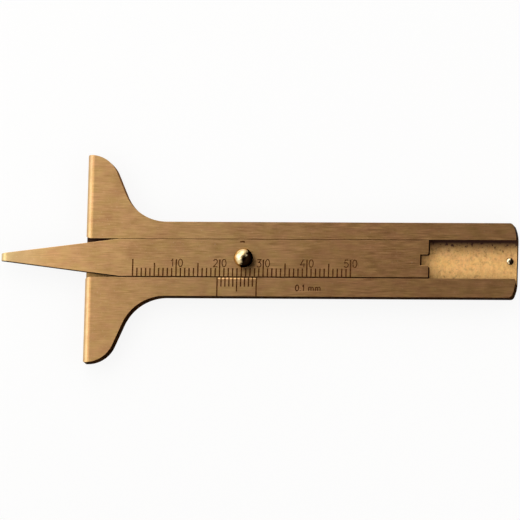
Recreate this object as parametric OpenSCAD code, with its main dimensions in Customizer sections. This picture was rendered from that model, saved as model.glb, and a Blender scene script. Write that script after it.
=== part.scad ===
// Brass depth gauge: a T-shaped body, a pointed blade that slides in the body's dovetail groove,
// a ball knob riveted to the blade and a stop pin pressed into the body.
// +X runs from the measuring face to the tail, +Y to the plain side and +Z out of the scale side.
// The origin is on the measuring face, half way across the bar, in the plane of the back.

/* [Body] */
// Length from the measuring face to the tail
body_len = 98.7; // [96:0.1:120]
// Width of the long bar
bar_w = 17; // [15:0.5:20]
// Thickness of the plate
body_t = 4; // [3.6:0.1:6]
// Span of the head from tip to tip
head_span = 47.5; // [44:0.1:60]
// Radius of the round back of each head tip
tip_r = 6.6; // [4:0.1:7.5]
// Straight end of each head tip, from the measuring face to where its back turns round
tip_end = 0.7; // [0.6:0.1:2]
// Lean of the straight stretch behind each wing, in degrees
wing_lean = 23.5; // [15:0.5:30]
// Radius of the hollow between wing and bar
hollow_r = 10.5; // [6:0.5:12]
// Round of the head's front corners
corner_r = 0.4; // [0.2:0.1:0.5]
// Round-over along the upper edge of the measuring face
face_edge_r = 1; // [0.5:0.1:1.4]
// Straight part of the tail end
tail_flat = 9.4; // [4:0.2:14]
// Radius of the arcs at the tail corners
tail_r = 8; // [6.5:0.1:12]

/* [Groove] */
// Width of the dovetail groove at the scale side
groove_w = 8.85; // [7.5:0.05:9.5]
// Depth of the groove
groove_depth = 2.1; // [1.6:0.1:2.4]
// Lean of the dovetail flanks from upright, in degrees
flank_lean = 30; // [15:1:40]
// Shift of the groove towards the plain side, which leaves room for the vernier
groove_shift = 0.2; // [0:0.05:0.6]

/* [Blade] */
// Distance of the blade's rear end from the tail when the gauge reads zero
rear_gap = 0.4; // [0.2:0.1:1]
// Width of the blunt point
point_w = 1.6; // [1:0.1:3]
// Round-over along the upper edge of the point
nose_r = 1.2; // [0.4:0.1:1.6]
// Length of the taper behind the point
taper_len = 27.5; // [15:0.5:29]
// Depth that the gauge reads as it lies
reading = 19.5; // [0:0.1:50]
// Width of the rear notch
notch_w = 2.5; // [2.2:0.1:4]
// Round of the rear notch's mouth
notch_r = 0.5; // [0.2:0.1:0.8]

/* [Friction stake] */
// Distance of the punch mark beside the knob from the blade's point
stake_x = 55.6; // [50:0.1:80]
// Length of the punch mark
stake_len = 1.1; // [0.6:0.1:1.6]
// Width of the punch mark
stake_w = 0.25; // [0.15:0.05:0.4]
// Depth of the punch mark
stake_depth = 0.2; // [0.1:0.05:0.4]
// Distance of the punch mark from the blade's edge
stake_inset = 0.55; // [0.4:0.05:1]
// Length of edge that the punch pushed out
bulge_len = 2.1; // [1.2:0.1:3]

/* [Scale] */
// Length of the engraved scale
scale_len = 50; // [30:5:60]
// Distance of the zero line from the blade's point, and of the vernier's zero from the measuring face
zero_x = 30.5; // [30:0.1:36]
// Width of the engraved lines
line_w = 0.25; // [0.15:0.05:0.3]
// Depth of the engraved lines
line_depth = 0.12; // [0.05:0.01:0.2]
// Length of the 1 mm lines
line_1 = 1.9; // [1:0.1:2.4]
// Length of the 5 mm lines
line_5 = 3.05; // [2.5:0.05:3.4]
// Length of the 10 mm lines
line_10 = 3.9; // [3.5:0.1:5]
// Number of vernier divisions
vernier_n = 10; // [10:10:20]
// Length of the short vernier lines
vernier_1 = 2.1; // [1:0.1:2.5]
// Length of the middle vernier line
vernier_5 = 3.2; // [2.6:0.1:3.8]

/* [Knob] */
// Diameter of the ball
ball_d = 4.4; // [3.6:0.1:6]
// Height of the ball above the blade
ball_h = 4; // [3.2:0.1:5]
// Distance of the knob from the blade's point
knob_x = 56.2; // [52:0.1:80]
// Diameter of the shank in the blade
shank_d = 2; // [1.2:0.1:2.4]
// Diameter of the riveted foot
foot_d = 3; // [2.5:0.1:3.6]
// Depth of the riveted foot's countersink
foot_depth = 0.5; // [0.3:0.1:0.8]

/* [Stop pin] */
// Diameter of the pin
pin_d = 1.5; // [1:0.1:1.8]
// Distance of the pin's centre from the tail end
pin_inset = 1.5; // [1:0.1:3]
// Height of the pin above the groove floor
pin_h = 1.5; // [1:0.1:1.5]
// Depth of the pin's hole in the floor
pin_sink = 1.2; // [0.5:0.1:1.2]
// Radius of the pin's domed top
dome_r = 1; // [0.95:0.05:2]

/* [Clearances] */
// Gap between blade and groove flank on the plain side, where the staked edge bears
plain_gap = 0.06; // [0.04:0.01:0.2]
// Gap between blade and groove flank on the scale side
scale_gap = 0.22; // [0.05:0.01:0.3]
// Gap between blade and groove floor
floor_gap = 0.1; // [0.05:0.01:0.2]
// Gap left between the staked edge and the groove
stake_gap = 0.02; // [0.01:0.01:0.03]
// Gap left between the notch and the stop pin at zero
stop_gap = 0.03; // [0.02:0.01:0.1]

/* [Hidden] */
$fn = 96;
// Extra reach of a cutting shape past the face that it cuts
over = 1;
// Degrees between the points of an arc in the body's outline
arc_step = 5;

head_half = head_span / 2;
bar_half = bar_w / 2;
floor_z = body_t - groove_depth;

// Points every few degrees along an arc of radius r about c, from angle a to angle b
function arc(c, r, a, b) =
    let (n = ceil(abs(b - a) / arc_step))
    [for (i = [0 : n]) c + r * [cos(a + (b - a) * i / n), sin(a + (b - a) * i / n)]];

// One wing's back: the tip's round and the hollow, joined by a straight stretch that touches both
tip_c = [tip_end, head_half - tip_r];
lean_dir = [cos(wing_lean), sin(wing_lean)];
down_dir = [sin(wing_lean), -cos(wing_lean)];
tip_touch = tip_c + tip_r * lean_dir;
straight_len = (tip_touch.y + hollow_r * lean_dir.y - bar_half - hollow_r) / lean_dir.x;
hollow_c = tip_touch + straight_len * down_dir + hollow_r * lean_dir;

// Outline of the plain side from the measuring face round to the tail, and of the whole body
tail_turn = asin((bar_half - tail_flat / 2) / tail_r);
half_outline = concat(
    arc([corner_r, head_half - corner_r], corner_r, 180, 90),
    arc(tip_c, tip_r, 90, wing_lean),
    arc(hollow_c, hollow_r, 180 + wing_lean, 270),
    arc([body_len - tail_r, tail_flat / 2], tail_r, tail_turn, 0)
);
last = len(half_outline) - 1;
outline = concat(half_outline, [for (i = [last : -1 : 0]) [half_outline[i].x, -half_outline[i].y]]);

// Blade length, section and place
blade_len = body_len - rear_gap;
blade_w = groove_w - plain_gap - scale_gap;
blade_y = groove_shift + (scale_gap - plain_gap) / 2;
blade_t = groove_depth - floor_gap;
flank_run = tan(flank_lean);
blade_foot_w = blade_w + 2 * blade_t * flank_run;
taper_run = (blade_w - point_w) / 2 / taper_len;
taper_end = taper_len + (blade_foot_w - blade_w) / 2 / taper_run;
notch_depth = pin_inset + pin_d / 2 - rear_gap + stop_gap;

// Bulge of the staked edge, as the rise of a flat arc over its length
bulge_h = plain_gap - stake_gap;
bulge_r = (bulge_len * bulge_len / 4 + bulge_h * bulge_h) / 2 / bulge_h;
// Radius of the rounded punch that leaves a mark of the given length and depth
stake_r = (stake_len * stake_len / 4 + stake_depth * stake_depth) / 2 / stake_depth;

vernier_step = (vernier_n - 1) / vernier_n;

// Dovetail section, w wide at the scale side and t deep, whose flanks run on above that side by rise
module dovetail(w, t, rise) {
    foot = w / 2 + t * flank_run;
    top = w / 2 - rise * flank_run;
    polygon([[-top, rise], [-foot, -t], [foot, -t], [top, rise]]);
}

// Turns an outline drawn across the bar into a length along it
module along_bar(len) {
    rotate([90, 0, 90])
        linear_extrude(len)
            children();
}

// An engraved line at x that runs across the bar from y for the given length
module line(x, y, len) {
    translate([x - line_w / 2, y, body_t - line_depth])
        cube([line_w, len, line_depth + over]);
}

// What a round-over of radius r takes off an upper edge that runs across the bar at x = 0 for a width w
module edge_cut(r, w) {
    translate([0, 0, body_t])
        difference() {
            translate([-over, -w / 2 - over, -r])
                cube([over + r, w + 2 * over, r + over]);
            translate([r, 0, -r])
                rotate([90, 0, 0])
                    cylinder(r = r, h = w + 4 * over, center = true);
        }
}

// Vernier: each division is shorter than a millimetre by one part in vernier_n
module vernier() {
    edge = groove_shift - groove_w / 2;
    land = edge + bar_half;
    for (i = [0 : vernier_n]) {
        len = i % vernier_n == 0 ? land + over : i % 5 == 0 ? vernier_5 : vernier_1;
        line(zero_x + i * vernier_step, edge - len, len + over);
    }
}

// Millimetre scale, drawn with the blade's point at x = 0 and its middle at y = 0
module scale_lines() {
    for (i = [0 : scale_len]) {
        len = i % 10 == 0 ? line_10 : i % 5 == 0 ? line_5 : line_1;
        line(zero_x + i, -blade_w / 2 - over, len + over);
    }
}

// Plan of the blade with its point at x = 0, with the taper and the rear notch on the bar's middle line
module blade_plan() {
    foot = blade_foot_w / 2;
    difference() {
        polygon([[0, -point_w / 2], [taper_end, -foot], [blade_len, -foot],
                 [blade_len, foot], [taper_end, foot], [0, point_w / 2]]);
        translate([0, -blade_y]) {
            translate([blade_len - notch_depth, -notch_w / 2])
                square([notch_depth + over, notch_w]);
            notch_mouth_cut();
            mirror([0, 1])
                notch_mouth_cut();
        }
    }
}

// What the round at one side of the notch's mouth takes off
module notch_mouth_cut() {
    translate([blade_len - notch_r, notch_w / 2 + notch_r])
        difference() {
            translate([0, -notch_r - over])
                square([notch_r + over, notch_r + over]);
            circle(notch_r);
        }
}

// Punch mark beside the knob
module stake_cut() {
    translate([stake_x, blade_w / 2 - stake_inset, body_t - stake_depth + stake_r])
        rotate([90, 0, 0])
            cylinder(r = stake_r, h = stake_w, center = true);
}

// Edge pushed out by the punch
module stake_bulge() {
    translate([stake_x, blade_w / 2 + bulge_h - bulge_r, body_t - blade_t])
        intersection() {
            cylinder(r = bulge_r, h = blade_t);
            translate([-bulge_len, bulge_r - 2 * bulge_h, 0])
                cube([2 * bulge_len, 2 * bulge_h, blade_t]);
        }
}

// Half section of the knob's shank and riveted foot, seen from the scale face down
module shank_section() {
    polygon([[0, 0], [shank_d / 2, 0], [shank_d / 2, foot_depth - blade_t],
             [foot_d / 2, -blade_t], [0, -blade_t]]);
}

// Half section of the ball, with the flat that it sits on
module ball_section() {
    intersection() {
        translate([0, ball_h - ball_d / 2])
            circle(d = ball_d);
        square([ball_d, ball_h]);
    }
}

// Places what is drawn with the blade's point at x = 0 at the depth that the gauge reads
module at_reading() {
    translate([-reading, blade_y, 0])
        children();
}

module body() {
    color("goldenrod")
        difference() {
            linear_extrude(body_t)
                polygon(outline);
            translate([-over, groove_shift, body_t])
                along_bar(body_len + 2 * over)
                    dovetail(groove_w, groove_depth, over);
            edge_cut(face_edge_r, head_span);
            vernier();
            translate([body_len - pin_inset, 0, floor_z - pin_sink])
                cylinder(d = pin_d, h = pin_sink + over);
        }
}

module blade() {
    color("darkgoldenrod")
        at_reading()
            difference() {
                union() {
                    intersection() {
                        linear_extrude(body_t)
                            blade_plan();
                        translate([0, 0, body_t])
                            along_bar(blade_len)
                                dovetail(blade_w, blade_t, 0);
                    }
                    stake_bulge();
                }
                edge_cut(nose_r, blade_w);
                scale_lines();
                stake_cut();
                translate([knob_x, -blade_y, body_t])
                    rotate_extrude()
                        shank_section();
            }
}

module knob() {
    color("gold")
        at_reading()
            translate([knob_x, -blade_y, body_t])
                union() {
                    rotate_extrude()
                        ball_section();
                    rotate_extrude()
                        shank_section();
                }
}

module stop_pin() {
    color("khaki")
        translate([body_len - pin_inset, 0, floor_z])
            rotate_extrude()
                intersection() {
                    translate([0, -pin_sink])
                        square([pin_d / 2, pin_sink + pin_h]);
                    union() {
                        translate([0, pin_h - dome_r])
                            circle(dome_r);
                        translate([0, -pin_sink])
                            square([pin_d, pin_sink + pin_h - dome_r]);
                    }
                }
}

body();
blade();
knob();
stop_pin();
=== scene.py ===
"""Looks of a brass depth gauge: T-shaped body, sliding blade with a millimetre scale, ball knob and pin."""

import logging
import math
from abc import ABC, abstractmethod
from dataclasses import dataclass, field
from enum import Enum
from functools import partial
from typing import Any, Callable, Iterable, Sequence

import bmesh
import bpy
from mathutils import Matrix, Vector, noise


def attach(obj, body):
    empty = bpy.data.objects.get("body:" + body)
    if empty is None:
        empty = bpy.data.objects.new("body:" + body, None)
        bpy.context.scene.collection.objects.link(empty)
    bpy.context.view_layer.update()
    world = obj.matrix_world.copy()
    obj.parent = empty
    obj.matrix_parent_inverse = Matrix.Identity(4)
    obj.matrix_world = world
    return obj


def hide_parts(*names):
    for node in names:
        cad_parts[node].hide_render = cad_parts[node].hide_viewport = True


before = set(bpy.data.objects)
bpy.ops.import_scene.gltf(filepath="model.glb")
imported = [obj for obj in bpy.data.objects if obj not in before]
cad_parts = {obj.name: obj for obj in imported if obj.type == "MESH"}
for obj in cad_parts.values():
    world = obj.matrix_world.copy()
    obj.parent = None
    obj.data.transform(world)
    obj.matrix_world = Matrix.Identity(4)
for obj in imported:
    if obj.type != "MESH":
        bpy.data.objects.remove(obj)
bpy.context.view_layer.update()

LOG = logging.getLogger("depth_gauge")
MM = 0.001
# How far a cutting solid stands past the work, in millimetres.
SPARE = 1.0
# Blender's numbers for the inputs of a colour mix and of a mapped range.
SHARE, FIRST, SECOND = 0, 6, 7
LOW, HIGH, TO_LOW, TO_HIGH = 1, 2, 3, 4

Point2 = tuple[float, float]
Point3 = tuple[float, float, float]
Path2 = list[Point2]
Piece = bpy.types.Object
Socket = bpy.types.NodeSocket
# Sockets and values for a node, by input name or number, or by property name.
Inputs = dict[str | int, Any]


class Along(Enum):
    """Axis that a flat outline is pushed along, with the two axes that the outline is drawn in."""

    X = (1, 2, 0)
    Y = (2, 0, 1)
    Z = (0, 1, 2)


class Cut(Enum):
    """What one solid does to another."""

    REMOVE = "DIFFERENCE"
    ADD = "UNION"
    KEEP_COMMON = "INTERSECT"


class Lay(Enum):
    """How a face was worked, with whether the marks that show run lengthwise."""

    RUBBED = True
    # The cutter ran lengthwise too, but its chatter lies across.
    CUT_WITH_CHATTER = False


class Blend(Enum):
    """How a tint goes on: it covers the metal's own colour, or stains it and leaves its marks."""

    COVER = "MIX"
    STAIN = "MULTIPLY"


class Skin(Enum):
    """Finishes of the flat brass pieces, in the order of their material slots."""

    BRUSHED = 0
    MILLED = 1
    SAWN = 2
    INK = 3
    WORN = 4
    FILED = 5


class Node(Enum):
    """Blender's node types, each with the output that is used here."""

    OBJECT_PLACE = ("ShaderNodeTexCoord", "Object")
    RAY = ("ShaderNodeTexCoord", "Generated")
    MAPPING = ("ShaderNodeMapping", "Vector")
    NOISE = ("ShaderNodeTexNoise", "Fac")
    RANGE = ("ShaderNodeMapRange", "Result")
    MIX = ("ShaderNodeMix", 2)
    MATH = ("ShaderNodeMath", 0)
    VECTOR = ("ShaderNodeVectorMath", "Vector")
    DOT = ("ShaderNodeVectorMath", "Value")
    X = ("ShaderNodeSeparateXYZ", "X")
    Y = ("ShaderNodeSeparateXYZ", "Y")
    Z = ("ShaderNodeSeparateXYZ", "Z")
    BUMP = ("ShaderNodeBump", "Normal")
    TANGENT = ("ShaderNodeTangent", "Tangent")
    CAMERA_RAY = ("ShaderNodeLightPath", "Is Camera Ray")
    GLOSSY_RAY = ("ShaderNodeLightPath", "Is Glossy Ray")
    TRANSMISSION_RAY = ("ShaderNodeLightPath", "Is Transmission Ray")
    EMISSION = ("ShaderNodeEmission", 0)
    MIX_SHADER = ("ShaderNodeMixShader", 0)


# A call that adds a node to one tree.
Add = Callable[[Node, Inputs], Socket]


def linear(code: str) -> tuple[float, float, float, float]:
    """Turns an sRGB hex colour into linear light.

    Args:
        code: Colour as "#RRGGBB".

    Returns:
        Linear red, green, blue and an alpha of 1.
    """
    parts = [int(code[i : i + 2], 16) / 255 for i in (1, 3, 5)]
    light = [p / 12.92 if p <= 0.04045 else ((p + 0.055) / 1.055) ** 2.4 for p in parts]
    return (light[0], light[1], light[2], 1.0)


def feed(node: bpy.types.Node, inputs: Inputs) -> None:
    """Sets up a node: links sockets to its inputs, and sets other values on its inputs or properties.

    Args:
        node: The node.
        inputs: Sockets and values by input name or number, or by property name.
    """
    for key, value in inputs.items():
        if isinstance(value, Socket):
            node.id_data.links.new(value, node.inputs[key])
        elif isinstance(key, int) or key in node.inputs:
            node.inputs[key].default_value = value
        else:
            setattr(node, key, value)


def add_node(tree: bpy.types.NodeTree, kind: Node, inputs: Inputs) -> Socket:
    """Adds one node to a material or world, with its settings and links.

    Args:
        tree: Node tree that gets the node.
        kind: Type of the node and the output that is wanted.
        inputs: Sockets and values by input name or number, or by property name.

    Returns:
        The node's output.
    """
    name, output = kind.value
    node = tree.nodes.new(name)
    if kind is Node.MIX:
        node.data_type = "RGBA"
    feed(node, inputs)
    return node.outputs[output]


def per_metre(size_mm: float) -> float:
    """Gives the texture scale at which one pattern cell measures size_mm."""
    return 1000.0 / size_mm


def oval(centre: Point2, reach: Point2, start: float, end: float, count: int = 14) -> Path2:
    """Lays points along part of an ellipse.

    Args:
        centre: Centre of the ellipse.
        reach: Half width and half height.
        start: First angle in degrees.
        end: Last angle in degrees.
        count: Number of steps.

    Returns:
        The points, both ends included.
    """
    angles = [math.radians(start + (end - start) * i / count) for i in range(count + 1)]
    return [(centre[0] + reach[0] * math.cos(a), centre[1] + reach[1] * math.sin(a)) for a in angles]


def arc(centre: Point2, radius: float, start: float, end: float, step: float = 3.0) -> Path2:
    """Lays points along part of a circle.

    Args:
        centre: Centre of the arc in millimetres.
        radius: Radius in millimetres.
        start: First angle in degrees.
        end: Last angle in degrees.
        step: Largest angle between two points in degrees.

    Returns:
        The points, both ends included.
    """
    count = max(1, math.ceil(abs(end - start) / step))
    return oval(centre, (radius, radius), start, end, count)


def new_piece(name: str, shape: bmesh.types.BMesh) -> Piece:
    """Turns a finished shape in millimetres into a scene object in metres.

    Args:
        name: Name of the piece.
        shape: The shape, which is freed.

    Returns:
        The linked object.
    """
    bmesh.ops.recalc_face_normals(shape, faces=shape.faces)
    bmesh.ops.scale(shape, vec=(MM, MM, MM), verts=shape.verts)
    mesh = bpy.data.meshes.new(name)
    shape.to_mesh(mesh)
    shape.free()
    piece = bpy.data.objects.new(name, mesh)
    bpy.context.scene.collection.objects.link(piece)
    return piece


def extrude(name: str, outline: Sequence[Point2], along: Along, low: float, high: float) -> Piece:
    """Pushes a closed outline along an axis.

    Args:
        name: Name of the solid.
        outline: Corner points in millimetres.
        along: Axis of the push.
        low: Where the solid starts on that axis.
        high: Where it ends.

    Returns:
        The solid.
    """
    first, second, third = along.value
    shape = bmesh.new()
    rings = []
    for level in (low, high):
        ring = []
        for a, b in outline:
            place = [0.0, 0.0, 0.0]
            place[first], place[second], place[third] = a, b, level
            ring.append(shape.verts.new(place))
        rings.append(ring)
    shape.faces.new(rings[0])
    shape.faces.new(rings[1])
    for i in range(len(outline)):
        j = (i + 1) % len(outline)
        shape.faces.new((rings[0][i], rings[0][j], rings[1][j], rings[1][i]))
    return new_piece(name, shape)


def carve(target: Piece, tool: Piece, cut: Cut = Cut.REMOVE) -> None:
    """Works one solid with another, which is used up. New faces keep the tool's material.

    Args:
        target: Solid that is worked.
        tool: Solid that works it.
        cut: What the tool does.
    """
    step = target.modifiers.new("carve", "BOOLEAN")
    step.object = tool
    step.operation = cut.value
    step.solver = "EXACT"
    step.use_self = True
    step.material_mode = "INDEX"
    depsgraph = bpy.context.evaluated_depsgraph_get()
    worked = bpy.data.meshes.new_from_object(target.evaluated_get(depsgraph))
    target.modifiers.clear()
    before = target.data
    worked.name = before.name + "_worked"
    target.data = worked
    bpy.data.meshes.remove(before)
    bpy.data.objects.remove(tool)


def soften(
    target: Piece, width: float, least_angle: float = 25.0, flat_angle: float = 0.2, merge: float = 0.001
) -> None:
    """Breaks the sharp edges of a solid, as a fine file does.

    Args:
        target: Solid whose edges are broken.
        width: Width of the broken edge in millimetres.
        least_angle: Edges flatter than this many degrees stay.
        flat_angle: Faces that meet at less than this many degrees become one.
        merge: Points closer than this, in millimetres, become one.
    """
    shape = bmesh.new()
    shape.from_mesh(target.data)
    bmesh.ops.remove_doubles(shape, verts=shape.verts, dist=merge * MM)
    bmesh.ops.dissolve_limit(
        shape, angle_limit=math.radians(flat_angle), use_dissolve_boundaries=False,
        verts=shape.verts, edges=shape.edges, delimit={"MATERIAL"},
    )
    sharp = [
        e for e in shape.edges
        if len(e.link_faces) == 2 and e.calc_face_angle(0.0) > math.radians(least_angle)
    ]
    bmesh.ops.bevel(
        shape, geom=sharp, offset=width * MM, offset_type="OFFSET", segments=2, profile=0.5,
        affect="EDGES", clamp_overlap=True, miter_outer="SHARP", miter_inner="SHARP",
    )
    shape.to_mesh(target.data)
    shape.free()


def settle_shading(
    target: Piece, least_angle: float = 9.0, broad: float = 20.0, flat_angle: float = 0.3
) -> None:
    """Smooths fine curves, keeps real edges sharp and lays the brushing direction into a UV map.

    Args:
        target: Piece that is finished.
        least_angle: Edges sharper than this many degrees stay sharp.
        broad: Faces larger than this, in square millimetres, keep true flat shading.
        flat_angle: Edges of those faces stay sharp above this many degrees.
    """
    shape = bmesh.new()
    shape.from_mesh(target.data)
    for face in shape.faces:
        face.smooth = True
    for edge in shape.edges:
        flat = any(f.calc_area() > broad * MM * MM for f in edge.link_faces)
        bend = edge.calc_face_angle(math.pi)
        edge.smooth = bend < math.radians(flat_angle if flat else least_angle)
    layer = shape.loops.layers.uv.new("brush")
    for face in shape.faces:
        for loop in face.loops:
            loop[layer].uv = (loop.vert.co.x / MM, loop.vert.co.y / MM)
    shape.to_mesh(target.data)
    shape.free()


def lathe(name: str, profile: Sequence[Point2], axis: Point2, count: int) -> Piece:
    """Turns a half profile about an upright axis.

    Args:
        name: Name of the piece.
        profile: Radius and height in millimetres, from the top centre to the bottom centre.
        axis: Place of the axis in millimetres.
        count: Number of steps round the axis.

    Returns:
        The turned piece, with smooth shading except at its corners.
    """
    on_axis, corner = 1e-6, 24.0
    shape = bmesh.new()
    rings: list[list[bmesh.types.BMVert]] = []
    for radius, height in profile:
        angles = [2 * math.pi * i / count for i in range(count)]
        if radius < on_axis:
            radius, angles = 0.0, [0.0]
        rings.append([
            shape.verts.new((axis[0] + radius * math.cos(a), axis[1] + radius * math.sin(a), height))
            for a in angles
        ])
    for upper, lower in zip(rings, rings[1:]):
        for i in range(count):
            j = (i + 1) % count
            ends = [(upper, i), (upper, j), (lower, j), (lower, i)]
            shape.faces.new(list(dict.fromkeys(ring[k % len(ring)] for ring, k in ends)))
    piece = new_piece(name, shape)
    settle_shading(piece, corner, math.inf)
    return piece


@dataclass(frozen=True)
class Graver:
    """Cut of an engraving tool, in millimetres: wider at the surface than at its bottom."""

    width: float
    depth: float
    floor_share: float = 0.5
    # The tool stands this far above the surface.
    rise: float = 0.05
    # Keeps the mitre of a sharp turn short.
    least_turn: float = 0.45
    # A stroke whose ends are closer than this returns to its start.
    meeting: float = 1e-6

    def stroke(self, shape: bmesh.types.BMesh, line: Path2, top: float) -> None:
        """Adds the cutting solid of one stroke.

        Args:
            shape: Shape that collects the strokes.
            line: Middle line of the stroke in millimetres.
            top: Height of the engraved surface.
        """
        closed = math.dist(line[0], line[-1]) < self.meeting
        path = line[:-1] if closed else line
        half, count = self.width / 2, len(path)
        levels = ((half * (1 + self.rise / self.depth * (1 - self.floor_share)), top + self.rise),
                  (half * self.floor_share, top - self.depth))
        rails: list[list[bmesh.types.BMVert]] = []
        for i, (x, y) in enumerate(path):
            legs = []
            if closed or i > 0:
                before = path[i - 1]
                legs.append(Vector((x - before[0], y - before[1])).normalized())
            if closed or i < count - 1:
                after = path[(i + 1) % count]
                legs.append(Vector((after[0] - x, after[1] - y)).normalized())
            run = sum(legs, Vector((0.0, 0.0))).normalized()
            side = Vector((-run.y, run.x))
            mitre = 1 / max(self.least_turn, run.dot(legs[0]))
            ring = []
            for reach, level in levels:
                for sign in (1, -1):
                    spot = (x + sign * side.x * reach * mitre, y + sign * side.y * reach * mitre, level)
                    ring.append(shape.verts.new(spot))
            rails.append([ring[0], ring[1], ring[3], ring[2]])
        pairs = list(zip(rails, rails[1:])) + ([(rails[-1], rails[0])] if closed else [])
        for a, b in pairs:
            for k in range(4):
                m = (k + 1) % 4
                shape.faces.new((a[k], a[m], b[m], b[k]))
        if not closed:
            shape.faces.new(rails[0])
            shape.faces.new(rails[-1])
        for face in shape.faces:
            face.material_index = Skin.INK.value

    def cut_all(self, target: Piece, strokes: Iterable[Path2], top: float) -> None:
        """Engraves many strokes that don't cross each other.

        Args:
            target: Piece that is engraved.
            strokes: Middle lines in millimetres.
            top: Height of the engraved surface.
        """
        shape = bmesh.new()
        for line in strokes:
            self.stroke(shape, line, top)
        carve(target, new_piece("graver", shape))


@dataclass(frozen=True)
class Figures:
    """Single-stroke figures as an engraver cuts them, drawn one unit high."""

    height: float

    def glyph(self, sign: str) -> tuple[float, list[Path2]]:
        """Draws one sign.

        Args:
            sign: The sign.

        Returns:
            Its width and its strokes.
        """
        ring = oval((0.29, 0.5), (0.27, 0.5), 0, 360, 26)
        hump = oval((0.25, 0.42), (0.2, 0.22), 180, 0, 10)
        swan = oval((0.29, 0.72), (0.25, 0.28), 165, -28)
        bowl_of_3 = oval((0.26, 0.3), (0.29, 0.31), 72, -150)
        bowl_of_5 = oval((0.26, 0.32), (0.29, 0.32), 118, -148)
        glyphs: dict[str, tuple[float, list[Path2]]] = {
            "0": (0.58, [ring]),
            "1": (0.36, [[(0.06, 0.74), (0.27, 1.0), (0.27, 0.0)]]),
            "2": (0.6, [swan + [(0.03, 0.0), (0.58, 0.0)]]),
            "3": (0.58, [[(0.03, 1.0), (0.53, 1.0), (0.24, 0.61)] + bowl_of_3]),
            "4": (0.64, [[(0.38, 1.0), (0.03, 0.3), (0.36, 0.3)], [(0.48, 0.5), (0.48, 0.0)],
                         [(0.58, 0.3), (0.66, 0.3)]]),
            "5": (0.58, [[(0.54, 1.0), (0.12, 1.0), (0.07, 0.56)] + bowl_of_5]),
            ".": (0.2, [[(0.1, 0.0), (0.1, 0.12)]]),
            " ": (0.36, []),
            "m": (1.0, [[(0.05, 0.0), (0.05, 0.64)], hump[2:] + [(0.45, 0.0)],
                        [(x + 0.4, y) for x, y in hump][3:] + [(0.85, 0.0)]]),
        }
        return glyphs[sign]

    def write(self, words: str, start: Point2, gap: float = 0.2) -> list[Path2]:
        """Sets a row of signs.

        Args:
            words: The signs.
            start: Lower left corner in millimetres.
            gap: Space between signs as a share of their height.

        Returns:
            The strokes in millimetres.
        """
        strokes = []
        pen = start[0]
        for sign in words:
            width, paths = self.glyph(sign)
            for path in paths:
                strokes.append([(pen + x * self.height, start[1] + y * self.height) for x, y in path])
            pen += (width + gap) * self.height
        return strokes

    def centred(self, sign: str, middle: float, foot: float) -> list[Path2]:
        """Sets one sign about a middle line."""
        return self.write(sign, (middle - self.glyph(sign)[0] * self.height / 2, foot))


class Finish(ABC):
    """A surface finish that becomes one Blender material."""

    name: str

    @abstractmethod
    def wire(self, add: Add, place: Socket) -> Inputs:
        """Wires the finish.

        Args:
            add: Adds a node to the material.
            place: Position on the piece in metres.

        Returns:
            What the Principled shader takes: sockets, and values that are the same all over.
        """

    def material(self) -> bpy.types.Material:
        """Gives the material, made once.

        Returns:
            The material of this finish.
        """
        known = bpy.data.materials.get(self.name)
        if known:
            return known
        made = bpy.data.materials.new(self.name)
        made.use_nodes = True
        add = partial(add_node, made.node_tree)
        feed(made.node_tree.nodes["Principled BSDF"], self.wire(add, add(Node.OBJECT_PLACE, {})))
        return made


@dataclass(frozen=True)
class Tint:
    """Colour laid along the gauge by use, in one case partly as a painted highlight, from none at start to its
    share at end, in millimetres.
    """

    colour: str
    start: float
    end: float
    share: float
    blend: Blend = Blend.COVER


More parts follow.
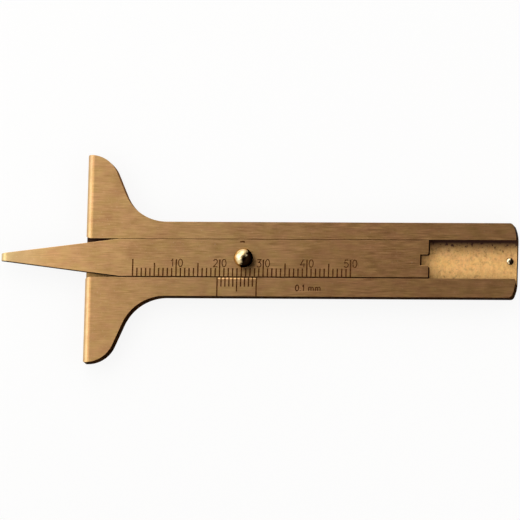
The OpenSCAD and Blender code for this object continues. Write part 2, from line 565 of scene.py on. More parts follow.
@dataclass(frozen=True)
class RubbedBrass(Finish):
    """Yellow brass rubbed or milled one way: fine straight marks, a sheen across them, a thin brown tarnish."""

    name: str
    lay: Lay
    light: str = "#E8BA80"
    dark: str = "#CA9A62"
    tarnish: str = "#9E6C42"
    nick: str = "#F0D8AE"
    rosy: str = "#D69A72"
    olive: str = "#CBA862"
    # The grit leaves scratches about 0.05 mm wide; at that width none would show, so they are drawn wider.
    mark_width: float = 0.22
    mark_length: float = 3.2
    # The film of tarnish lies in patches of this size, in millimetres.
    patch: float = 6.0
    film: float = 0.4
    # Handling tints the metal in clouds of rosy and olive brown, this long, wide and high in millimetres.
    cloud: Point3 = (4.0, 2.0, 2.0)
    cloud_start: Point3 = (9.0, 4.0, 2.0)
    cloud_share: float = 0.3
    # Nicks are bright spots of fresh metal, drawn 0.4 mm across.
    nick_size: float = 0.4
    nick_share: float = 0.38
    roughness: Point2 = (0.28, 0.38)
    anisotropy: float = 0.5
    # Both ways of working leave the sheen across the bar, a quarter turn from the brushing direction.
    sheen_turn: float = 0.25
    # A coarse surface scatters part of the light like a matt one.
    metallic: float = 1.0
    # Darkening along a groove, painted shade by its walls with stains in it: its lightest line across the bar
    # and how far from it all is dark, in millimetres.
    soiled: Point2 | None = None
    soil: str = "#3C1A06"
    soil_rise: float = 2.5
    # The darkening breaks up into stains about a millimetre across.
    stain: float = 1.0
    stain_share: float = 0.9
    tints: tuple[Tint, ...] = ()

    def dirt(self, add: Add, place: Socket) -> Socket:
        """Wires the darkening, painted shade by the groove's walls, which grows from the lightest line to the
        sides and breaks up into stains.

        Args:
            add: Adds a node to the material.
            place: Position on the piece in metres.

        Returns:
            The share of the darkening.
        """
        middle, reach = self.soiled
        off = add(Node.MATH, {"operation": "SUBTRACT", 0: add(Node.Y, {0: place}), 1: middle * MM})
        off = add(Node.MATH, {"operation": "ABSOLUTE", 0: off})
        off = add(Node.RANGE, {"Value": off, HIGH: reach * MM})
        rise = add(Node.MATH, {"operation": "POWER", 0: off, 1: self.soil_rise})
        size = per_metre(self.stain)
        grain = add(Node.NOISE, {"Vector": place, "Scale": size, "Detail": 4.0, "Roughness": 0.7})
        stain = add(Node.RANGE, {"Value": grain, LOW: 0.54, HIGH: 0.72, TO_HIGH: self.stain_share})
        return add(Node.MATH, {"operation": "MULTIPLY_ADD", "use_clamp": True, 0: stain, 1: off, 2: rise})

    def wire(self, add: Add, place: Socket) -> Inputs:
        """Wires marks into colour, roughness and relief, and tarnish, nicks, tints and the darkening by the
        groove's walls into colour.

        Args:
            add: Adds a node to the material.
            place: Position on the piece in metres.

        Returns:
            What the Principled shader takes.
        """
        along, across = per_metre(self.mark_length), per_metre(self.mark_width)
        stretch = (along, across, across) if self.lay.value else (across, along, across)
        lay = add(Node.MAPPING, {"Vector": place, "Scale": stretch})
        mark = add(Node.NOISE, {"Vector": lay, "Scale": 1.0, "Detail": 3.0, "Roughness": 0.6})
        size = per_metre(self.patch)
        patch = add(Node.NOISE, {"Vector": place, "Scale": size, "Detail": 4.0, "Roughness": 0.62})
        speck = add(Node.NOISE, {"Vector": place, "Scale": per_metre(self.nick_size), "Detail": 1.0})
        spread = tuple(per_metre(length) for length in self.cloud)
        cloud = add(Node.MAPPING, {"Vector": place, "Location": self.cloud_start, "Scale": spread})
        drift = add(Node.NOISE, {"Vector": cloud, "Scale": 1.0, "Detail": 2.0})

        tone = add(Node.RANGE, {"Value": mark, LOW: 0.3, HIGH: 0.7})
        swing = add(Node.RANGE, {"Value": drift, LOW: 0.35, HIGH: 0.65})
        film = add(Node.RANGE, {"Value": patch, LOW: 0.42, HIGH: 0.78, TO_HIGH: self.film})
        fresh = add(Node.RANGE, {"Value": speck, LOW: 0.64, HIGH: 0.84, TO_HIGH: self.nick_share})
        metal = add(Node.MIX, {SHARE: tone, FIRST: linear(self.dark), SECOND: linear(self.light)})
        hue = add(Node.MIX, {SHARE: swing, FIRST: linear(self.rosy), SECOND: linear(self.olive)})
        colour = add(Node.MIX, {SHARE: self.cloud_share, FIRST: metal, SECOND: hue})
        layers = []
        for tint in self.tints:
            reach = {LOW: tint.start * MM, HIGH: tint.end * MM, TO_HIGH: tint.share}
            share = add(Node.RANGE, {"Value": add(Node.X, {0: place})} | reach)
            layers.append((share, tint.colour, tint.blend))
        layers += [(film, self.tarnish, Blend.COVER), (fresh, self.nick, Blend.COVER)]
        if self.soiled:
            layers.append((self.dirt(add, place), self.soil, Blend.COVER))
        for share, shade, blend in layers:
            layer = {"blend_type": blend.value, SHARE: share, FIRST: colour, SECOND: linear(shade)}
            colour = add(Node.MIX, layer)

        dull, duller = self.roughness
        return {
            "Base Color": colour,
            "Metallic": self.metallic,
            "Roughness": add(Node.RANGE, {"Value": mark, LOW: 0.3, HIGH: 0.7, TO_LOW: dull, TO_HIGH: duller}),
            "Normal": add(Node.BUMP, {"Height": mark, "Strength": 0.1, "Distance": 0.02 * MM}),
            "Anisotropic": self.anisotropy,
            "Anisotropic Rotation": self.sheen_turn,
            "Tangent": add(Node.TANGENT, {"direction_type": "UV_MAP", "uv_map": "brush"}),
        }


@dataclass(frozen=True)
class SawnBrass(Finish):
    """Brass edge left from the saw: dull, with faint upright tool marks, painted dark brown as painted shade.
    """

    name: str
    light: str = "#4E3419"
    dark: str = "#34220F"
    # A dark edge tint keeps the reflection at a low angle dark: painted shade.
    glance: str = "#4A3824"
    # Saw teeth leave marks about 0.4 mm apart and 6 mm long.
    mark_width: float = 0.4
    mark_length: float = 6.0
    patch: float = 3.0
    roughness: Point2 = (0.42, 0.6)

    def wire(self, add: Add, place: Socket) -> Inputs:
        """Wires tool marks and the dark brown of the painted shade.

        Args:
            add: Adds a node to the material.
            place: Position on the piece in metres.

        Returns:
            What the Principled shader takes.
        """
        fine, tall = per_metre(self.mark_width), per_metre(self.mark_length)
        lay = add(Node.MAPPING, {"Vector": place, "Scale": (fine, fine, tall)})
        mark = add(Node.NOISE, {"Vector": lay, "Scale": 1.0, "Detail": 2.0})
        patch = add(Node.NOISE, {"Vector": place, "Scale": per_metre(self.patch), "Detail": 3.0})
        tone = add(Node.RANGE, {"Value": patch, LOW: 0.35, HIGH: 0.7})
        dull, duller = self.roughness
        return {
            "Base Color": add(Node.MIX, {SHARE: tone, FIRST: linear(self.dark), SECOND: linear(self.light)}),
            "Metallic": 1.0,
            "Roughness": add(Node.RANGE, {"Value": mark, LOW: 0.3, HIGH: 0.7, TO_LOW: dull, TO_HIGH: duller}),
            "Normal": add(Node.BUMP, {"Height": mark, "Strength": 0.2, "Distance": 0.03 * MM}),
            "Specular Tint": linear(self.glance),
        }


@dataclass(frozen=True)
class PolishedBrass(Finish):
    """Brass turned and buffed: pale gold and mirror-like, with one side painted near black as painted shade."""

    name: str
    centre: Point3
    radius: float
    light: str = "#FFF0C4"
    dark: str = "#DDB26C"
    tarnish: str = "#180E06"
    # A dark edge tint keeps the rim's reflection dark: painted shade.
    glance: str = "#1A120A"
    # The side facing this way is painted near black, painted shade of the side away from the lamps.
    unrubbed: Point3 = (0.88, -0.43, -0.18)
    # Turning leaves rings about 0.15 mm apart, which run all the way round.
    ring: float = 0.15
    ring_length: float = 20.0
    smear: float = 1.2
    # How far the smears pull the edge of the painted shade about, as a share of the radius.
    raggedness: float = 0.9
    roughness: Point2 = (0.16, 0.28)

    def wire(self, add: Add, place: Socket) -> Inputs:
        """Wires turning rings, smears and the painted shade of one side.

        Args:
            add: Adds a node to the material.
            place: Position on the piece in metres.

        Returns:
            What the Principled shader takes.
        """
        stretch = tuple(per_metre(size) for size in (self.ring_length, self.ring_length, self.ring))
        lay = add(Node.MAPPING, {"Vector": place, "Scale": stretch})
        ring = add(Node.NOISE, {"Vector": lay, "Scale": 1.0, "Detail": 2.0})
        smear = add(Node.NOISE, {"Vector": place, "Scale": per_metre(self.smear), "Detail": 3.0})
        out = add(Node.VECTOR, {"operation": "SUBTRACT", 0: place, 1: tuple(Vector(self.centre) * MM)})
        toward = tuple(Vector(self.unrubbed).normalized() / (self.radius * MM))
        side = add(Node.DOT, {"operation": "DOT_PRODUCT", 0: out, 1: toward})
        ragged = add(Node.MATH, {"operation": "MULTIPLY_ADD", 0: smear, 1: self.raggedness, 2: side})
        tone = add(Node.RANGE, {"Value": smear, LOW: 0.35, HIGH: 0.7})
        film = add(Node.RANGE, {"Value": ragged, LOW: 0.36, HIGH: 0.6})
        metal = add(Node.MIX, {SHARE: tone, FIRST: linear(self.light), SECOND: linear(self.dark)})
        bright, dull = self.roughness
        return {
            "Base Color": add(Node.MIX, {SHARE: film, FIRST: metal, SECOND: linear(self.tarnish)}),
            "Metallic": 1.0,
            "Roughness": add(Node.RANGE, {"Value": smear, LOW: 0.4, HIGH: 0.75, TO_LOW: bright, TO_HIGH: dull}),
            "Normal": add(Node.BUMP, {"Height": ring, "Strength": 0.05, "Distance": 0.01 * MM}),
            "Specular Tint": linear(self.glance),
        }


@dataclass(frozen=True)
class EngravingInk(Finish):
    """Brown-black wax rubbed into the engraving: matt, uneven, worn thin in places."""

    name: str
    thick: str = "#4E280A"
    thin: str = "#744E1E"
    grain: float = 0.5

    def wire(self, add: Add, place: Socket) -> Inputs:
        """Wires the uneven colour.

        Args:
            add: Adds a node to the material.
            place: Position on the piece in metres.

        Returns:
            What the Principled shader takes.
        """
        wear = add(Node.NOISE, {"Vector": place, "Scale": per_metre(self.grain), "Detail": 2.0})
        tone = add(Node.RANGE, {"Value": wear, LOW: 0.45, HIGH: 0.8})
        colour = add(Node.MIX, {SHARE: tone, FIRST: linear(self.thick), SECOND: linear(self.thin)})
        return {"Base Color": colour, "Roughness": 0.7, "Specular IOR Level": 0.1}


@dataclass(frozen=True)
class WhiteCard(Finish):
    """White card under the gauge: matt, and seen as white, so that its soft shadow alone tells it apart."""

    name: str = "white_card"
    paper: str = "#F4F3F1"
    fibre: str = "#EFEEEC"
    grain: float = 0.8
    lift: float = 0.88

    def wire(self, add: Add, place: Socket) -> Inputs:
        """Wires the card's own colour and the white that the eye, metal and glass see.

        Args:
            add: Adds a node to the material.
            place: Position on the card in metres.

        Returns:
            What the Principled shader takes.
        """
        fibre = add(Node.NOISE, {"Vector": place, "Scale": per_metre(self.grain), "Detail": 3.0})
        colour = add(Node.MIX, {SHARE: fibre, FIRST: linear(self.paper), SECOND: linear(self.fibre)})
        seen = add(Node.CAMERA_RAY, {})
        for ray in (Node.GLOSSY_RAY, Node.TRANSMISSION_RAY):
            seen = add(Node.MATH, {"operation": "MAXIMUM", 0: seen, 1: add(ray, {})})
        share = add(Node.MATH, {"operation": "MULTIPLY", 0: seen, 1: self.lift})
        nodes = place.id_data.nodes
        matt, white = nodes["Principled BSDF"].outputs[0], add(Node.EMISSION, {"Strength": 1.0})
        feed(nodes["Material Output"], {"Surface": add(Node.MIX_SHADER, {0: share, 1: matt, 2: white})})
        return {"Base Color": colour, "Roughness": 0.9}


# The point is paler yellow, rubbed bare in use and partly a painted highlight from the lamp near it, and the
# end that lies in the hand turns a redder brown.
BARE_AND_LIT_POINT = Tint("#E1C88F", -8.0, -19.0, 0.75)
HELD_END = Tint("#FFF6F6", 30.0, 60.0, 1.0, Blend.STAIN)

FINISHES: dict[Skin, Finish] = {
    Skin.BRUSHED: RubbedBrass("brass_brushed_lengthwise", Lay.RUBBED, tints=(BARE_AND_LIT_POINT, HELD_END)),
    # The cutter left the groove's floor dull and even; it is painted darker toward its sides, painted shade by
    # the walls, with stains.
    Skin.MILLED: RubbedBrass(
        "brass_milled_matt", Lay.CUT_WITH_CHATTER, light="#FFD488", dark="#F4B66A", tarnish="#8E5826",
        nick="#7A4E26", rosy="#FCBA80", olive="#F6C674", mark_width=0.3, mark_length=1.8, patch=0.8,
        film=0.42, roughness=(0.58, 0.68), anisotropy=0.4, metallic=0.25, soiled=(-1.2, 5.6),
    ),
    Skin.SAWN: SawnBrass("brass_sawn_painted_shade"),
    Skin.INK: EngravingInk("engraving_wax"),
    # Faces that look toward the point are pale: edges that touch the work are rubbed to bare metal, and the
    # paleness is partly a painted highlight.
    Skin.WORN: RubbedBrass(
        "brass_worn_edge_painted_highlight", Lay.RUBBED, light="#DCBA87", dark="#CCA573", tarnish="#A87C50", rosy="#D0A080",
        olive="#C8AC70", patch=2.0, tints=(BARE_AND_LIT_POINT,),
    ),
    # The plain side's walls get a painted shade half as dark, where less shadow falls beside them.
    Skin.FILED: SawnBrass("brass_plain_side_painted_shade", light="#8E6E46", dark="#75583A", glance="#8A7256"),
}


@dataclass(frozen=True)
class Groove:
    """Dovetail groove along the bar, in millimetres."""

    width: float = 8.85
    depth: float = 2.1
    lean: float = 30.0
    shift: float = 0.2

    def section(self, width: float, depth: float, top: float, rise: float = 0.0) -> Path2:
        """Draws a dovetail section across the bar.

        Args:
            width: Width at the scale side.
            depth: Depth below it.
            top: Height of the scale side.
            rise: How far the flanks run on above it.

        Returns:
            Corner points across the bar and upwards.
        """
        run = math.tan(math.radians(self.lean))
        foot, head = width / 2 + depth * run, width / 2 - rise * run
        return [(-head, top + rise), (-foot, top - depth), (foot, top - depth), (head, top + rise)]


@dataclass
class FlatBrass:
    """What the two flat pieces share: their groove, their engraving tools and their finishes."""

    groove: Groove = field(default_factory=Groove)
    thickness: float = 4.0
    edge: float = 0.1
    zero: float = 30.5
    # Scale lines and blanks run this far past an edge.
    overrun: float = 0.5
    # Ends behind this, their broken edges included, get the dark painted shade.
    rear: float = 70.0
    # Walls that face the plain side by more than this get the lighter painted shade.
    filed: float = 0.2
    # Painted shade lines the gaps on both sides of the blade.
    grime: tuple[Point2, ...] = ((-4.4, -3.9), (4.45, 4.75))
    # Faces that look down are flanks if they lie this far above the back, or above a milled floor.
    above_back: float = 0.1
    above_floor: float = 0.02
    floor_play: float = 0.05
    # Parts of its normal that tell which way a face looks.
    level: float = 0.9
    unbroken: float = 0.97
    upright: float = 0.3
    downward: float = -0.1
    endways: float = 0.2
    head_on: float = -0.8
    line: Graver = field(default_factory=lambda: Graver(0.32, 0.12))

    def round_over(self, drop: float, run: float, width: float) -> Piece:
        """Makes the tool that rounds an upper edge across the bar at x = 0.

        Args:
            drop: Height of the round.
            run: Length of the round, in which polishing lets the top fall away.
            width: Length of the edge.

        Returns:
            The cutting solid.
        """
        top = self.thickness
        curve = oval((run, top - drop), (run, drop), 180, 90, 30)
        section = [(-SPARE, top + SPARE), (-SPARE, top - drop)] + curve + [(run, top + SPARE)]
        return extrude("round_over", [(z, x) for x, z in section], Along.Y, -width, width)

    def skin(self, face: bpy.types.MeshPolygon, floor: float | None) -> Skin:
        """Tells a face's finish from where it lies and which way it looks.

        Args:
            face: The face.
            floor: Height of a milled floor, if there is one.

        Returns:
            The finish.
        """
        to_tail, to_plain, up = face.normal
        x, y, z = (c / MM for c in face.center)
        if floor is not None and up > self.level and abs(z - floor) < self.floor_play:
            return Skin.MILLED
        # Faces that look toward the point get the pale finish, partly a painted highlight from the lamps on
        # that side.
        if to_tail < -self.endways and up > self.downward:
            return Skin.WORN
        # Upright walls are painted dark brown as painted shade; walls that face the plain side, ahead of the
        # rear, get a lighter painted shade.
        if abs(up) < self.upright and to_tail > self.head_on:
            return Skin.FILED if to_plain > self.filed and x < self.rear else Skin.SAWN
        # Rear end faces, downward flanks and the edges along the blade's gaps get the same dark painted shade.
        shaded_end = to_tail > self.endways and up > self.downward and x > self.rear
        flank = up < 0 and z > (self.above_back if floor is None else floor + self.above_floor)
        in_gap_shade = up < self.unbroken and any(low < y < high for low, high in self.grime)
        return Skin.SAWN if shaded_end or flank or in_gap_shade else Skin.BRUSHED

    def dress(self, piece: Piece, floor: float | None) -> None:
        """Gives every face of a flat piece its finish.

        Args:
            piece: The piece.
            floor: Height of a milled floor, if there is one.
        """
        for finish in FINISHES.values():
            piece.data.materials.append(finish.material())
        for face in piece.data.polygons:
            if face.material_index != Skin.INK.value:
                face.material_index = self.skin(face, floor).value


@dataclass
class Body(FlatBrass):
    """T-shaped plate with the measuring head, the dovetail groove and the vernier, in millimetres."""

    length: float = 98.7
    bar_width: float = 17.0
    head_span: float = 47.5
    tip_radius: float = 6.6
    tip_end: float = 0.7
    wing_lean: float = 23.5
    hollow_radius: float = 10.5
    corner_radius: float = 0.4
    face_round: float = 1.0
    face_run: float = 1.6
    tail_flat: float = 9.4
    tail_radius: float = 8.0
    tail_corner: float = 0.9
    parts: int = 10
    part: float = 0.9
    short_line: float = 2.1
    middle_line: float = 3.2
    # Width and depth of the dressed edge, and where it starts and ends from the vernier's zero.
    dressed: Point2 = (0.38, 0.09)
    dressed_run: Point2 = (0.1, 8.9)
    unit: str = "0.1 mm"
    unit_height: float = 1.3
    unit_place: Point2 = (48.5, -7.2)
    unit_line: Graver = field(default_factory=lambda: Graver(0.26, 0.1, 0.7))

    @property
    def land(self) -> float:
        """Place of the groove's edge along the vernier."""
        return self.groove.shift - self.groove.width / 2

    def outline(self) -> Path2:
        """Draws the plate's outline.

        Returns:
            Corner points, the plain side first.
        """
        head, bar = self.head_span / 2, self.bar_width / 2
        lean = math.radians(self.wing_lean)
        out = (math.cos(lean), math.sin(lean))
        tip = (self.tip_end, head - self.tip_radius)
        touch = (tip[0] + self.tip_radius * out[0], tip[1] + self.tip_radius * out[1])
        straight = (touch[1] + self.hollow_radius * out[1] - bar - self.hollow_radius) / out[0]
        hollow = (touch[0] + straight * out[1] + self.hollow_radius * out[0],
                  touch[1] - straight * out[0] + self.hollow_radius * out[1])
        tail = (self.length - self.tail_radius, self.tail_flat / 2)
        inner = bar - self.tail_corner - tail[1]
        turn = math.degrees(math.asin(inner / (self.tail_radius - self.tail_corner)))
        corner = (tail[0] + inner / math.tan(math.radians(turn)), bar - self.tail_corner)
        half = (
            arc((self.corner_radius, head - self.corner_radius), self.corner_radius, 180, 90, 15.0)
            + arc(tip, self.tip_radius, 90, self.wing_lean)
            + arc(hollow, self.hollow_radius, 180 + self.wing_lean, 270)
            + arc(corner, self.tail_corner, 90, turn, 10.0)
            + arc(tail, self.tail_radius, turn, 0)[1:]
        )
        return half + [(x, -y) for x, y in reversed(half)]

    def burr(self) -> Piece:
        """Makes the tool that dresses the groove's edge along the vernier, where the graver pushed metal out.

        Returns:
            The cutting solid.
        """
        run, drop = self.dressed
        low, high = self.thickness - drop * (1 + self.overrun / run), self.thickness + drop / 2
        inside = self.land + self.overrun
        section = [(inside, low), (self.land - run * 1.5, high), (inside, high)]
        start, end = self.dressed_run
        return extrude("burr", section, Along.X, self.zero + start, self.zero + end)

    def vernier(self) -> list[Path2]:
        """Lays out the ten parts of the vernier, which together measure nine millimetres.

        Returns:
            The strokes.
        """
        reaches = {0: self.bar_width, self.parts // 2: self.middle_line}
        strokes = []
        for i in range(self.parts + 1):
            x = self.zero + self.part * i
            reach = reaches.get(i % self.parts, self.short_line)
            strokes.append([(x, self.land + self.overrun), (x, self.land - reach)])
        return strokes

    def build(self) -> Piece:
        """Makes the plate and mounts it on the frame.

        Returns:
            The finished piece.
        """
        groove, top = self.groove, self.thickness
        plate = extrude("gauge_body", self.outline(), Along.Z, 0.0, top)
        channel = [(y + groove.shift, z) for y, z in groove.section(groove.width, groove.depth, top, SPARE)]
        carve(plate, extrude("channel", channel, Along.X, -SPARE, self.length + SPARE))
        carve(plate, self.round_over(self.face_round, self.face_run, self.head_span))
        soften(plate, self.edge)
        carve(plate, self.burr())
        self.line.cut_all(plate, self.vernier(), top)
        self.unit_line.cut_all(plate, Figures(self.unit_height).write(self.unit, self.unit_place), top)
        self.dress(plate, top - groove.depth)
        settle_shading(plate)
        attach(plate, "frame")
        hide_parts("body")
        return plate


@dataclass
class Blade(FlatBrass):
    """Pointed slide with the millimetre scale, in millimetres and drawn with its point at x = 0."""

    length: float = 98.3
    point_width: float = 1.6
    nose_round: float = 1.2
    nose_run: float = 1.5
    taper: float = 27.5
    reading: float = 19.5
    notch_width: float = 2.5
    notch_depth: float = 1.88
    notch_round: float = 0.5
    plain_gap: float = 0.06
    scale_gap: float = 0.22
    floor_gap: float = 0.1
    scale_length: int = 50
    # Lengths of the lines for one, five and ten millimetres.
    lines: tuple[float, float, float] = (1.9, 3.05, 3.9)
    figure_height: float = 1.7
    figure_offset: float = 0.97
    figure_foot: float = 2.2
    figure_line: Graver = field(default_factory=lambda: Graver(0.22, 0.1))
    # Punch mark by the plain edge: its place and its distance from the edge, its radius and half its angle.
    stake: Point2 = (55.6, 0.55)
    punch: Point2 = (0.9, 34.0)
    # The metal pushed out there: its length and height, how deep it sits in the edge, and how far its
    # bottom and its top lie below the surface.
    bulge: Point2 = (2.1, 0.04)
    bulge_root: float = 0.3
    bulge_levels: Point2 = (0.4, 0.01)

    @property
    def depth(self) -> float:
        """Thickness of the blade."""
        return self.groove.depth - self.floor_gap

    @property
    def width(self) -> float:
        """Width at the scale side."""
        return self.groove.width - self.plain_gap - self.scale_gap

    @property
    def middle(self) -> float:
        """Place of the blade's middle line across the bar."""
        return self.groove.shift + (self.scale_gap - self.plain_gap) / 2

    def plan(self) -> Path2:
        """Draws the blade's foot in plan, with the taper and the rear notch.

        Returns:
            Corner points.
        """
        foot = self.width / 2 + self.depth * math.tan(math.radians(self.groove.lean))
        slope = (self.width - self.point_width) / 2 / self.taper
        end = self.taper + (foot - self.width / 2) / slope
        low, high = -self.middle - self.notch_width / 2, -self.middle + self.notch_width / 2
        r = self.notch_round
        return (
            [(0.0, -self.point_width / 2), (end, -foot), (self.length, -foot)]
            + arc((self.length - r, low - r), r, 0, 90, 15.0)
            + [(self.length - self.notch_depth, low), (self.length - self.notch_depth, high)]
            + arc((self.length - r, high + r), r, 270, 360, 15.0)
            + [(self.length, foot), (end, foot), (0.0, self.point_width / 2)]
        )

    def lip(self) -> Piece:
        """Makes the metal that the punch pushed out of the plain edge, which rubs on the groove.

        Returns:
            The solid to add.
        """
        x, edge = self.stake[0], self.width / 2
        half, height = self.bulge[0] / 2, self.bulge[1]
        radius = (half * half + height * height) / 2 / height
        spread = math.degrees(math.asin(half / radius))
        outline = arc((x, edge + height - radius), radius, 90 - spread, 90 + spread, 0.4)
        outline += [(x - half, edge - self.bulge_root), (x + half, edge - self.bulge_root)]
        low, high = (self.thickness - level for level in self.bulge_levels)
        return extrude("lip", outline, Along.Z, low, high)

    def scale(self) -> tuple[list[Path2], list[Path2]]:
        """Lays out the millimetre scale.

        Returns:
            The strokes of the lines and of the figures.
        """
        edge = -self.width / 2
        lines, figures = [], []
        letters = Figures(self.figure_height)
        for i in range(self.scale_length + 1):
            x = self.zero + i
            reach = self.lines[2 if i % 10 == 0 else 1 if i % 5 == 0 else 0]
            lines.append([(x, edge - self.overrun), (x, edge + reach)])
            if i and i % 10 == 0:
                tens, ones = str(i)
                figures += letters.centred(tens, x - self.figure_offset, edge + self.figure_foot)
                figures += letters.centred(ones, x + self.figure_offset, edge + self.figure_foot)
        return lines, figures

    def build(self) -> Piece:
        """Makes the blade and mounts it on the slide.

        Returns:
            The finished piece.
        """
        top = self.thickness
        bottom = top - self.depth
        blade = extrude("gauge_blade", self.plan(), Along.Z, bottom - self.overrun, top + self.overrun)
        section = self.groove.section(self.width, self.depth, top)
        carve(blade, extrude("bar", section, Along.X, -SPARE, self.length + SPARE), Cut.KEEP_COMMON)
        carve(blade, self.round_over(self.nose_round, self.nose_run, self.width))
        soften(blade, self.edge / 2)
        carve(blade, self.lip(), Cut.ADD)
        lines, figures = self.scale()
        self.line.cut_all(blade, lines, top)
        self.figure_line.cut_all(blade, figures, top)
        radius, spread = self.punch
        centre = (self.stake[0], self.width / 2 - self.stake[1] - radius)
        mark = arc(centre, radius, 90 - spread, 90 + spread, 10.0)
        self.line.cut_all(blade, [mark], top)
        blade.data.transform(Matrix.Translation((-self.reading * MM, self.middle * MM, 0.0)))
        self.dress(blade, None)
        settle_shading(blade)
        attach(blade, "slide")
        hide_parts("blade")
        return blade


@dataclass
class Knob:
    """Turned ball that the thumb pushes, with its riveted shank, in millimetres."""

    place: Point2 = (36.7, 0.0)
    seat: float = 4.0
    ball: float = 4.4
    height: float = 4.0
    undercut: float = 0.12
    shank: float = 2.0
    foot: float = 3.0
    foot_depth: float = 0.5
    blade_depth: float = 2.0
    # Size and depth of the flats, and the height over the seat from which they start.
    flat: float = 1.5
    flat_depth: float = 0.06
    flat_start: float = 0.1
    steps_down: int = 40
    steps_round: int = 72

    def buff(self, knob: Piece, centre: Vector) -> None:
        """Presses shallow flats into the ball, as buffing by hand leaves them.

        Args:
            knob: The turned knob.
            centre: Centre of the ball in metres.
        """
        for vertex in knob.data.vertices:
            if vertex.co.z > (self.seat + self.flat_start) * MM:
                press = 0.5 + 0.5 * noise.noise(vertex.co / (self.flat * MM))
                vertex.co -= (vertex.co - centre).normalized() * press * self.flat_depth * MM

    def build(self) -> Piece:
        """Turns the knob and mounts it on the slide.

        Returns:
            The finished piece.
        """
        r, shank, seat = self.ball / 2, self.shank / 2, self.seat
        bottom = seat - self.blade_depth
        centre = seat + self.height - r
        low = math.degrees(math.asin((seat + self.undercut - centre) / r))
        profile = oval((0.0, centre), (r, r), 90, low, self.steps_down)
        neck = profile[-1][0] - self.undercut
        profile += [(neck, seat + self.undercut / 2), (neck, seat), (shank, seat),
                    (shank, bottom + self.foot_depth), (self.foot / 2, bottom), (0.0, bottom)]
        knob = lathe("gauge_knob", profile, self.place, self.steps_round)
        self.buff(knob, Vector((*self.place, centre)) * MM)
        # One side of the ball is painted near black: painted shade.
        finish = PolishedBrass("brass_turned_polished", (*self.place, centre), r)
        knob.data.materials.append(finish.material())
        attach(knob, "slide")
        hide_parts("knob")
        return knob


@dataclass
class StopPin:
    """Pin at the tail that the blade's notch comes to rest on, in millimetres."""

    place: Point2 = (97.2, 0.0)
    floor: float = 1.9
    width: float = 1.5
    height: float = 1.5
    sink: float = 1.2
    dome: float = 1.0
    # The painted shade starts this far past the pin's middle; the bright side is painted paler, a painted
    # highlight.
    rubbed: float = 0.14
    unrubbed: Point3 = (1.0, -0.3, 0.0)
    light: str = "#FFF8DC"
    smear: float = 0.6
    steps_down: int = 10
    steps_round: int = 40

    def build(self) -> Piece:
        """Turns the pin and mounts it on the frame.

        Returns:
            The finished piece.
        """
        r, top, bottom = self.width / 2, self.floor + self.height, self.floor - self.sink
        rim = math.degrees(math.acos(r / self.dome))
        profile = oval((0.0, top - self.dome), (self.dome, self.dome), 90, rim, self.steps_down)
        profile += [(r, self.floor), (r, bottom), (0.0, bottom)]
        pin = lathe("gauge_stop_pin", profile, self.place, self.steps_round)
        middle = (self.place[0] + self.rubbed, self.place[1], top)
        looks = {"light": self.light, "unrubbed": self.unrubbed, "smear": self.smear}
        # One side of the pin is painted near black: painted shade.
        finish = PolishedBrass("brass_drawn_polished", middle, r, **looks)
        pin.data.materials.append(finish.material())
        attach(pin, "frame")
        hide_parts("stop_pin")
        return pin


@dataclass(frozen=True)
class Lamp:
    """A soft lamp: its place, aim, width and height in millimetres and its power in watts."""

    name: str
    place: Point3
    aim: Point3
    size: Point2
    power: float

    def hang(self) -> Piece:
        """Hangs the lamp.

        Returns:
            The lamp.
        """
        light = bpy.data.lights.new(self.name, "AREA")
        light.shape = "RECTANGLE"
        light.size, light.size_y = self.size[0] * MM, self.size[1] * MM
        light.energy = self.power
        lamp = bpy.data.objects.new(self.name, light)
        here, there = Vector(self.place) * MM, Vector(self.aim) * MM
        turn = (there - here).to_track_quat("-Z", "Y")
        lamp.matrix_world = Matrix.Translation(here) @ turn.to_matrix().to_4x4()
        bpy.context.scene.collection.objects.link(lamp)
        return lamp


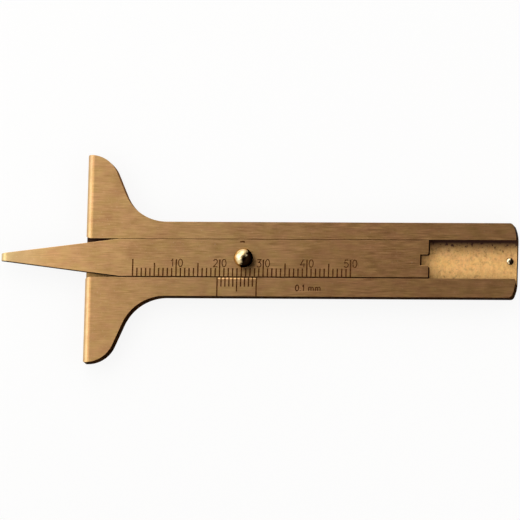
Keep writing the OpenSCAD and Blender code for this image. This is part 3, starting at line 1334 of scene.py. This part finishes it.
@dataclass
class Studio:
    """Camera, lamps, white card and surroundings; lengths in millimetres."""

    aim: Point3 = (40.21, -0.197, 4.0)
    toward: Point2 = (0.157, -0.1403)
    roll: float = 0.00507
    distance: float = 3000.0
    pixels_per_mm: float = 4.4126
    image: int = 520
    sensor: float = 36.0
    card: float = 12000.0
    card_place: Point3 = (40.0, 0.0, -0.02)
    card_sides: int = 96
    walls: str = "#EEEAE4"
    bright_wall: str = "#FFFFFF"
    bright_side: Point3 = (-0.643, 0.766, 0.0)
    bright_turn: Point2 = (-0.1, 0.8)
    ceiling: str = "#4B4743"
    ceiling_rise: Point2 = (0.55, 0.92)
    lamps: tuple[Lamp, ...] = (
        Lamp("panel_upper_left", (-244.0, 304.0, 291.0), (30.0, 0.0, 4.0), (900.0, 400.0), 0.75),
        Lamp("panel_above", (-33.5, 180.0, 164.7), (32.0, 0.0, 4.0), (220.0, 220.0), 0.145),
        Lamp("panel_by_head", (-107.9, 19.0, 228.7), (0.0, 0.0, 4.0), (220.0, 220.0), 0.045),
        Lamp("panel_by_point", (-78.9, -12.2, 125.2), (-10.0, 0.0, 4.0), (120.0, 120.0), 0.037),
        Lamp("panel_by_tail", (205.2, -20.3, 113.1), (90.0, 0.0, 4.0), (400.0, 120.0), 0.13),
    )

    def camera(self) -> Piece:
        """Sets up the camera at the photograph's viewing angle.

        Returns:
            The scene's camera.
        """
        cx, cy = self.toward
        back = Vector((cx, cy, math.sqrt(1 - cx * cx - cy * cy)))
        right = (Vector((1.0, 0.0, 0.0)) - cx * back).normalized()
        up = back.cross(right)
        tilt_right = math.cos(self.roll) * right + math.sin(self.roll) * up
        tilt_up = math.cos(self.roll) * up - math.sin(self.roll) * right
        data = bpy.data.cameras.new("camera")
        data.sensor_width = self.sensor
        data.lens = self.sensor * self.pixels_per_mm * self.distance / self.image
        camera = bpy.data.objects.new("camera", data)
        place = (Vector(self.aim) + back * self.distance) * MM
        turn = Matrix((tilt_right, tilt_up, back)).transposed()
        camera.matrix_world = Matrix.Translation(place) @ turn.to_4x4()
        bpy.context.scene.collection.objects.link(camera)
        bpy.context.scene.camera = camera
        return camera

    def room(self) -> bpy.types.World:
        """Makes the room: pale walls, the brightest to one side, under a dark ceiling.

        Returns:
            The world.
        """
        world = bpy.data.worlds.new("room")
        world.use_nodes = True
        add = partial(add_node, world.node_tree)
        ray = add(Node.RAY, {})
        side = add(Node.DOT, {"operation": "DOT_PRODUCT", 0: ray, 1: self.bright_side})
        fade, turn = (
            add(Node.RANGE, {"interpolation_type": "SMOOTHSTEP", "Value": way, LOW: low, HIGH: high})
            for way, (low, high) in ((add(Node.Z, {0: ray}), self.ceiling_rise), (side, self.bright_turn))
        )
        walls = add(Node.MIX, {SHARE: turn, FIRST: linear(self.walls), SECOND: linear(self.bright_wall)})
        colour = add(Node.MIX, {SHARE: fade, FIRST: walls, SECOND: linear(self.ceiling)})
        feed(world.node_tree.nodes["Background"], {"Color": colour})
        return world

    def surroundings(self) -> None:
        """Lays the card, hangs the lamps and sets the room."""
        shape = bmesh.new()
        bmesh.ops.create_circle(shape, cap_ends=True, segments=self.card_sides, radius=self.card)
        bmesh.ops.translate(shape, verts=shape.verts, vec=self.card_place)
        card = new_piece("card", shape)
        card.data.materials.append(WhiteCard().material())
        for lamp in self.lamps:
            lamp.hang()
        bpy.context.scene.world = self.room()


def main() -> None:
    """Builds the camera, the four pieces and their surroundings, in that order."""
    logging.basicConfig(level=logging.INFO, format="%(name)s: %(message)s")
    studio = Studio()
    LOG.info("camera at %s", tuple(round(v, 3) for v in studio.camera().location))
    for part in (Body(), Blade(), Knob(), StopPin()):
        piece = part.build()
        LOG.info("%s has %d faces", piece.name, len(piece.data.polygons))
    studio.surroundings()
    bpy.context.scene.view_settings.view_transform = "Standard"


if __name__ == "__main__":
    main()
